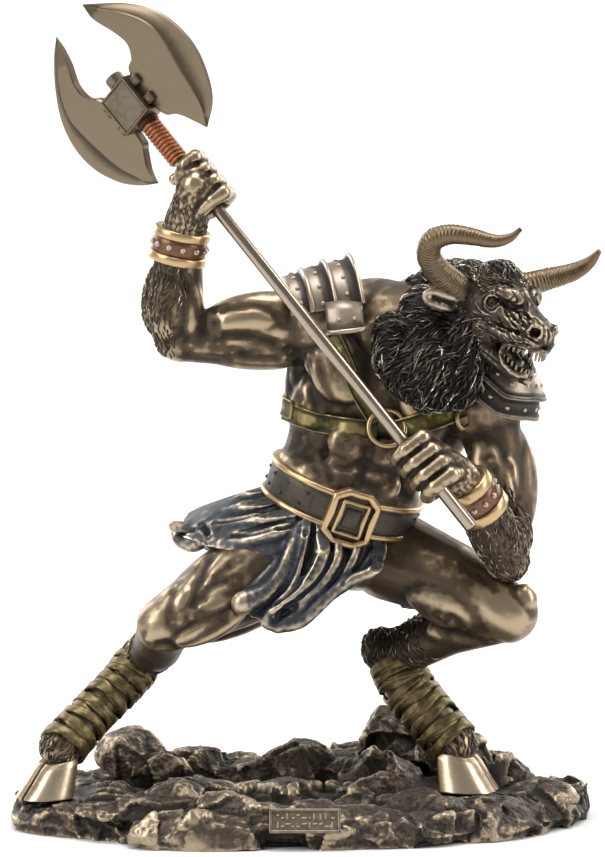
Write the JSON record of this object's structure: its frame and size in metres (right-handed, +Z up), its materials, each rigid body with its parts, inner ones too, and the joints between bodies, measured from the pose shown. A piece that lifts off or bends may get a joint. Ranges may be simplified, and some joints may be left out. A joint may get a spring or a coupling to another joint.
{
  "type": "minotaur statue",
  "caption": "Cast statue of a bull-headed man in armour lunging over a rocky base with a double-bitted axe held across the body.",
  "frame": {"origin": "under the middle of the rock base, on the plane it stands on", "axes": "+X towards the viewer's right and the figure's leading foot, +Y away from the viewer, +Z up"},
  "size_m": [0.2136, 0.122, 0.2948],
  "materials": {
    "figure_bronze": "dark antique bronze, glossy on the worn ridges",
    "base_bronze": "dark brown antique bronze rock with worn edges",
    "axe_bronze": "smooth satin olive bronze",
    "shaft_bronze": "satin bronze rod"
  },
  "bodies": {
    "root": {"minotaur_figure": "figure_bronze", "rock_base": "base_bronze", "axe_head": "axe_bronze", "axe_shaft": "shaft_bronze"}
  },
  "joints": []
}
